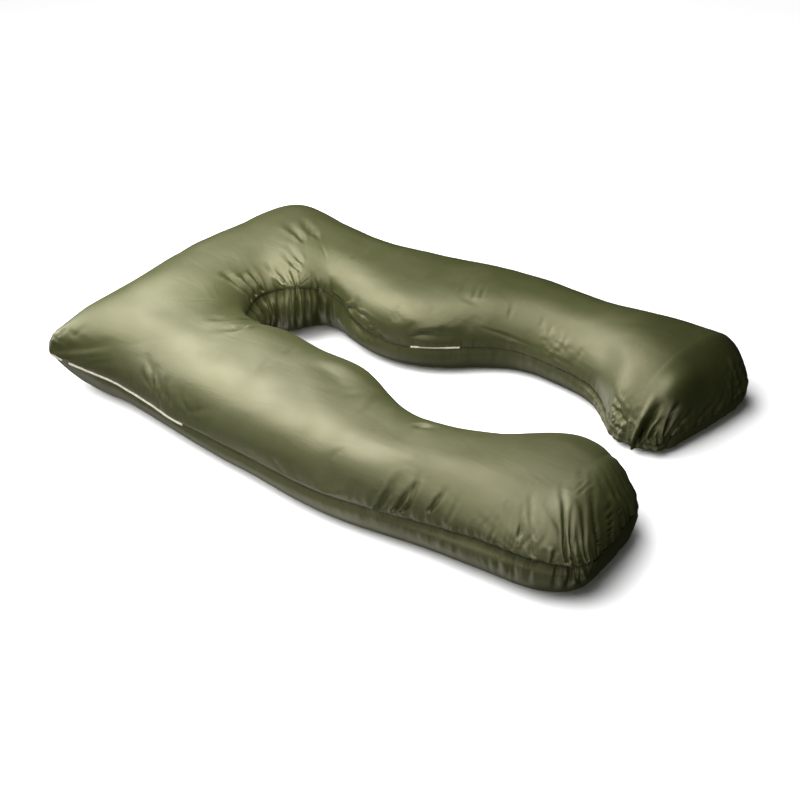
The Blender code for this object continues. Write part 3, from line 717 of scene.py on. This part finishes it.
def cloth_moves(grid, start):
    """How far each point moves when the start shape is a slack cloth cover with pressure inside."""
    piece = section_mesh("cloth_start", start)
    height = start.reshape(-1, 3)[:, 2]
    held = np.clip((CLOTH_FREE - np.minimum(grid.away, height)) / (CLOTH_FREE - CLOTH_HELD), 0, 1)
    slack = np.exp(-((grid.away / SLACK_REACH) ** 2))
    for name, weights in (("held", held), ("slack", slack)):
        group = piece.vertex_groups.new(name=name)
        for i in weights.nonzero()[0].tolist():
            group.add([i], float(weights[i]), "REPLACE")
    modifier = piece.modifiers.new("cloth", "CLOTH")
    settings = modifier.settings
    settings.quality = CLOTH_QUALITY
    settings.tension_stiffness = CLOTH_STIFFNESS
    settings.compression_stiffness = CLOTH_STIFFNESS
    settings.bending_stiffness = CLOTH_BEND
    settings.use_pressure = True
    settings.uniform_pressure_force = CLOTH_PRESSURE
    settings.vertex_group_shrink = "slack"
    settings.shrink_min = -CROWN_SLACK
    settings.shrink_max = -SEAM_SLACK
    settings.vertex_group_mass = "held"
    settings.effector_weights.gravity = 0
    modifier.collision_settings.use_collision = False
    for step in range(1, CLOTH_FRAMES + 1):
        bpy.context.scene.frame_set(step)
    finished = piece.evaluated_get(bpy.context.evaluated_depsgraph_get()).to_mesh()
    result = np.empty(start.size)
    finished.vertices.foreach_get("co", result)
    bpy.data.objects.remove(piece)
    bpy.context.scene.frame_set(1)
    moves = result.reshape(start.shape) - start
    moves -= (1 - CLOTH_SWELL) * averaged(moves, SWELL_REACH)
    length = np.linalg.norm(moves, axis=-1, keepdims=True)
    moves *= np.minimum(1, CLOTH_CAP / np.maximum(length, 1e-9))
    free = (1 - held) * np.exp(-((grid.away / CLOTH_REACH) ** 2))
    return moves * free.reshape(length.shape)


def spread(moves, coarse, fine):
    """The coarse grid's moves, read smoothly at the fine grid's places."""
    sections = smooth_through(coarse.places, moves.reshape(len(coarse.places), -1), fine.places)
    around = sections.reshape(len(fine.places), len(coarse.angles), 3).transpose(1, 0, 2)
    turn = np.concatenate([coarse.angles[-4:] - 2 * pi, coarse.angles, coarse.angles[:4] + 2 * pi])
    around = np.concatenate([around[-4:], around, around[:4]]).reshape(len(turn), -1)
    around = smooth_through(turn, around, fine.angles)
    return around.reshape(len(fine.angles), len(fine.places), 3).transpose(1, 0, 2)


def fold_depth(grid, folds):
    """How deep these folds press each point of a grid."""
    return sum(pressed_by(grid.points, grid.normals, fold) for fold in folds)


def cushion_points():
    """The finished cover: its grid, and its points after the folds, the cloth and the fine puckers."""
    fine = pillow_grid(row_places(1), section_angles(TOP_STEPS, UNDER_STEPS))
    deep = [fold for fold in FOLDS if abs(fold.depth) >= CLOTH_FOLD_DEPTH]
    shallow = [fold for fold in FOLDS if fold not in deep]
    depth = (1 + FOLD_AGAIN) * fold_depth(fine, deep) + fold_depth(fine, shallow) + dents(fine.points)
    points = pressed_in(fine, depth + puckers(fine) + crumples(fine.points))
    coarse = pillow_grid(row_places(CLOTH_SHARE), section_angles(CLOTH_TOP_STEPS, CLOTH_UNDER_STEPS))
    start = closed(pressed_in(coarse, fold_depth(coarse, deep) + dents(coarse.points)), coarse.angles)
    points += spread(cloth_moves(coarse, start), coarse, fine)
    return fine, closed(points, fine.angles)


def add_cushion(material):
    """The finished cover, with how far along the seam and away from it each point lies for the material."""
    grid, points = cushion_points()
    cushion = section_mesh("cushion_cover", points)
    signed = np.where(grid.upper, grid.away, -grid.away)
    for name, values in (("seam_run", grid.run), ("seam_away", signed)):
        attribute = cushion.data.attributes.new(name, "FLOAT", "POINT")
        attribute.data.foreach_set("value", values.astype(np.float32))
    cushion.data.shade_smooth()
    cushion.data.materials.append(material)
    return cushion


def set_inputs(tree, node, inputs):
    """Gives a node its plain inputs and its links."""
    for name, value in inputs.items():
        if isinstance(value, bpy.types.NodeSocket):
            tree.links.new(value, node.inputs[name])
        else:
            node.inputs[name].default_value = value


def add_node(tree, kind, inputs=(), **settings):
    """A shader node with its settings and its inputs."""
    node = tree.nodes.new(kind)
    for name, value in settings.items():
        setattr(node, name, value)
    set_inputs(tree, node, dict(inputs))
    return node


def calculated(tree, operation, *values):
    """The output of a Math node."""
    return add_node(tree, "ShaderNodeMath", dict(enumerate(values)), operation=operation).outputs[0]


def between(tree, value, low, high, to_low, to_high):
    """The output of a smooth Map Range node."""
    inputs = {"Value": value, "From Min": low, "From Max": high, "To Min": to_low, "To Max": to_high}
    return add_node(tree, "ShaderNodeMapRange", inputs, interpolation_type="SMOOTHSTEP").outputs["Result"]


def noise_node(tree, vector, scale, detail, **inputs):
    """The factor of a Noise Texture node."""
    inputs = {"Vector": vector, "Scale": scale, "Detail": detail, **inputs}
    return add_node(tree, "ShaderNodeTexNoise", inputs).outputs["Fac"]


def mixed(tree, factor, first, second):
    """The colour of a Mix node, the first one at a factor of 0 and the second one at 1."""
    inputs = {"Factor": factor, "A": first, "B": second}
    return add_node(tree, "ShaderNodeMix", inputs, data_type="RGBA").outputs["Result"]


def stretched(tree, place, scale):
    """The vector of a Mapping node that scales a place."""
    return add_node(tree, "ShaderNodeMapping", {"Vector": place, "Scale": scale}).outputs["Vector"]


def bumped(tree, height, relief, normal=None):
    """The normal of a Bump node on top of another normal."""
    inputs = {"Height": height, "Strength": relief.strength, "Distance": relief.depth}
    if normal:
        inputs["Normal"] = normal
    return add_node(tree, "ShaderNodeBump", inputs).outputs["Normal"]


def new_material(name):
    """A material with its node tree and its shader."""
    material = bpy.data.materials.new(name)
    material.use_nodes = True
    return material, material.node_tree, material.node_tree.nodes["Principled BSDF"]


def satin_material():
    """Olive satin: broad shade changes, painted shade in a thin line along the seam, fine creases off the
    seam, stitch puckers and a satin weave.
    """
    material, tree, shader = new_material("olive_satin")
    place = add_node(tree, "ShaderNodeTexCoord").outputs["Object"]
    run = add_node(tree, "ShaderNodeAttribute", attribute_name="seam_run").outputs["Fac"]
    signed = add_node(tree, "ShaderNodeAttribute", attribute_name="seam_away").outputs["Fac"]
    away = calculated(tree, "ABSOLUTE", signed)

    shade = calculated(tree, "MULTIPLY", noise_node(tree, place, *SHADE_NOISE), SHADE_SHARE)
    mottle = calculated(tree, "MULTIPLY", noise_node(tree, place, *MOTTLE_NOISE), MOTTLE_SHARE)
    tone = calculated(tree, "ADD", shade, mottle)
    colour = mixed(tree, between(tree, tone, *SATIN_RANGE, 0.0, 1.0), SATIN_DARK, SATIN_LIGHT)
    # Painted shade: a thin dark line along the seam, where its groove falls into shade.
    colour = mixed(tree, between(tree, away, *SEAM_SHADE_BAND, 1.0, 0.0), colour, SEAM_PAINTED_SHADE)
    rough = between(tree, noise_node(tree, place, *ROUGH_NOISE), *SATIN_RANGE, *SATIN_ROUGHNESS)

    along, off = (calculated(tree, "MULTIPLY", value, often) for value, often in zip((run, signed), GATHERS))
    off_seam = add_node(tree, "ShaderNodeCombineXYZ", {"X": along, "Y": off}).outputs["Vector"]
    gathers = noise_node(tree, off_seam, *GATHER_NOISE, Distortion=0.4)
    gathers = calculated(tree, "MULTIPLY", gathers, between(tree, away, *GATHER_FADE, 1.0, 0.0))
    normal = bumped(tree, gathers, GATHER_RELIEF)
    soft = stretched(tree, place, CREASES)
    creases = noise_node(tree, soft, *CREASE_NOISE, Roughness=0.55, Distortion=0.8)
    normal = bumped(tree, creases, CREASE_RELIEF, normal)
    teeth = calculated(tree, "SINE", calculated(tree, "MULTIPLY", run, 2 * pi / STITCH_PITCH))
    teeth = calculated(tree, "MULTIPLY", teeth, between(tree, away, *STITCH_FADE, 1.0, 0.0))
    normal = bumped(tree, teeth, STITCH_RELIEF, normal)
    floats = stretched(tree, place, WEAVE)
    normal = bumped(tree, noise_node(tree, floats, *WEAVE_NOISE), WEAVE_RELIEF, normal)
    set_inputs(tree, shader, {"Base Color": colour, "Roughness": rough, "Normal": normal, **SATIN_GLOSS})
    return material


def zip_material():
    """Cream polyester coil, a little greyer in random patches."""
    material, tree, shader = new_material("zip_cream")
    place = add_node(tree, "ShaderNodeTexCoord").outputs["Object"]
    grime = between(tree, noise_node(tree, place, *GRIME_NOISE), *GRIME_RANGE, 0.0, 1.0)
    colour = mixed(tree, grime, ZIP_CREAM, ZIP_GRIME)
    normal = bumped(tree, noise_node(tree, place, *ZIP_NOISE), ZIP_RELIEF)
    set_inputs(tree, shader, {"Base Color": colour, "Roughness": ZIP_ROUGHNESS, "Normal": normal})
    return material


def seam_points(zip_piece, places):
    """Points of the seam at a zip's row places."""
    return cloth(places, np.full(len(places), np.radians(zip_piece.angle)))


def add_zip(zip_piece, tree, material):
    """A stretch of closed coil zip in the seam: two rows of small turns that interlock along one groove."""
    fine = np.linspace(zip_piece.row_a, zip_piece.row_b, ZIP_LINE_POINTS)
    travelled = length_along(seam_points(zip_piece, fine))
    seats = max(round(travelled[-1] / ZIP_SEAT_PITCH), ZIP_LEAST_SEATS) + 1
    coarse = np.linspace(0, travelled[-1], seats)
    places = np.interp(coarse, travelled, fine)
    columns, _ = rows_at(places)
    outwards = (columns[:, 0:2] - columns[:, 2:4]) * (1 if zip_piece.angle == 0 else -1)
    outwards /= np.linalg.norm(outwards, axis=1, keepdims=True)
    seated = []
    for point, out in zip(seam_points(zip_piece, places), outwards):
        direction = Vector((*out, 0))
        start = Vector(point) - direction * SEAM_DEPTH
        seated.append(seat_zip_point(tree, start, direction, zip_piece.sink))
    seated = np.array(seated)
    count = round(travelled[-1] / ZIP_TURN * ZIP_RINGS_PER_TURN)
    at = np.linspace(0, travelled[-1], count + 1)
    path = smooth_through(coarse, seated, at)
    across = smooth_through(coarse, np.column_stack([outwards, 0 * outwards[:, 0]]), at)
    along = np.gradient(path, axis=0)
    along /= np.linalg.norm(along, axis=1, keepdims=True)
    across -= (across * along).sum(1, keepdims=True) * along
    across /= np.linalg.norm(across, axis=1, keepdims=True)
    upward = np.cross(along, across)
    turn = np.arange(ZIP_AROUND) / ZIP_AROUND * 2 * pi
    side = np.sin(turn)[None, :]
    phase = at[:, None] / ZIP_TURN * 2 * pi + np.where(side > 0, 0, pi)
    end = np.minimum(at, travelled[-1] - at)[:, None] / ZIP_RADIUS
    rounding = np.sqrt(1 - (1 - np.clip(end, ZIP_TIP, 1)) ** 2)
    groove = ZIP_GROOVE * np.exp(-((side / ZIP_GROOVE_WIDTH) ** 2))
    radius = ZIP_RADIUS * rounding * (1 - ZIP_RIB * (0.5 + 0.5 * np.cos(phase)) - groove)
    points = path[:, None] + radius[..., None] * (
        np.cos(turn)[None, :, None] * across[:, None] + side[..., None] * upward[:, None]
    )
    piece = section_mesh(zip_piece.name + "_coil", points)
    mesh = bmesh.new()
    mesh.from_mesh(piece.data)
    bmesh.ops.holes_fill(mesh, edges=[edge for edge in mesh.edges if edge.is_boundary])
    bmesh.ops.recalc_face_normals(mesh, faces=mesh.faces)
    mesh.to_mesh(piece.data)
    mesh.free()
    piece.data.shade_smooth()
    piece.data.materials.append(material)
    return piece


def seat_zip_point(tree, seam_point, direction, sink):
    """Slides a point out of the seam until a coil centred there just rests on the cloth."""
    close, far = 0.0, ZIP_SEARCH
    for _ in range(ZIP_HALVINGS):
        middle = (close + far) / 2
        if tree.find_nearest(seam_point + direction * middle)[3] < ZIP_RADIUS - sink:
            close = middle
        else:
            far = middle
    return seam_point + direction * far


def add_camera():
    """The photograph's camera. Returns the level direction in which it looks."""
    data = bpy.data.cameras.new("camera")
    data.lens = CAMERA_LENS_MM
    data.sensor_width = CAMERA_SENSOR_MM
    camera = bpy.data.objects.new("camera", data)
    heading = Vector((np.sin(CAMERA_HEADING), np.cos(CAMERA_HEADING), 0))
    forward = heading * np.cos(CAMERA_PITCH) - Vector((0, 0, np.sin(CAMERA_PITCH)))
    camera.location = CAMERA_TARGET - forward * CAMERA_DISTANCE
    camera.rotation_mode = "QUATERNION"
    camera.rotation_quaternion = forward.to_track_quat("-Z", "Y")
    bpy.context.scene.collection.objects.link(camera)
    bpy.context.scene.camera = camera
    return heading


def add_light(name, kind, aim, power):
    """A light that shines along aim."""
    data = bpy.data.lights.new(name, kind)
    data.energy = power
    light = bpy.data.objects.new(name, data)
    light.rotation_mode = "QUATERNION"
    light.rotation_quaternion = aim.to_track_quat("-Z", "Y")
    bpy.context.scene.collection.objects.link(light)
    return light


def add_lights(heading):
    """All lamps and suns but the floor's own."""
    for lamp in LAMPS:
        place = Vector(lamp[1:4])
        light = add_light(lamp.name, "AREA", LAMP_AIM - place, lamp.power)
        light.location = place
        light.data.shape = "SQUARE"
        light.data.size = LAMP_SIZE
        light.visible_camera = False
    for sun in SUNS:
        add_sun(sun, heading)


def add_sun(sun, heading):
    """A sun that stands where it says, seen from the camera's heading."""
    left = Vector((-heading.y, heading.x, 0))
    turn, rise = np.radians(sun.turn), np.radians(sun.rise)
    level = heading * np.cos(turn) + left * np.sin(turn)
    light = add_light(sun.name, "SUN", -level * np.cos(rise) - Vector((0, 0, np.sin(rise))), sun.power)
    light.data.angle = np.radians(sun.spread)
    return light


def add_floor(heading):
    """The pale floor, with a sun that only the floor takes. It throws no light back on the pillow itself."""
    bpy.ops.mesh.primitive_plane_add(size=FLOOR_SIZE, location=(0, 0, FLOOR_HEIGHT))
    floor = bpy.context.object
    floor.name = "floor"
    material, tree, shader = new_material("floor")
    set_inputs(tree, shader, FLOOR_SURFACE)
    floor.data.materials.append(material)
    floor.visible_diffuse = False
    floor.visible_glossy = False
    floor.visible_shadow = False
    lit = bpy.data.collections.new("floor_only")
    lit.objects.link(floor)
    add_sun(FLOOR_WASH, heading).light_linking.receiver_collection = lit


def add_world():
    """A faint white light from all round."""
    world = bpy.data.worlds.new("studio")
    world.use_nodes = True
    set_inputs(world.node_tree, world.node_tree.nodes["Background"], WORLD_LIGHT)
    bpy.context.scene.world = world


heading = add_camera()
noise.seed_set(NOISE_SEED)
cushion = add_cushion(satin_material())
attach(cushion, "root")
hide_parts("cushion")
cover_mesh = cushion.data
surface = BVHTree.FromPolygons([v.co for v in cover_mesh.vertices], [p.vertices for p in cover_mesh.polygons])
cream = zip_material()
for zip_piece in ZIPS:
    coil = add_zip(zip_piece, surface, cream)
    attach(coil, "root")
    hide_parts(zip_piece.name)
add_floor(heading)
add_world()
add_lights(heading)
bpy.context.scene.view_settings.view_transform = "Standard"
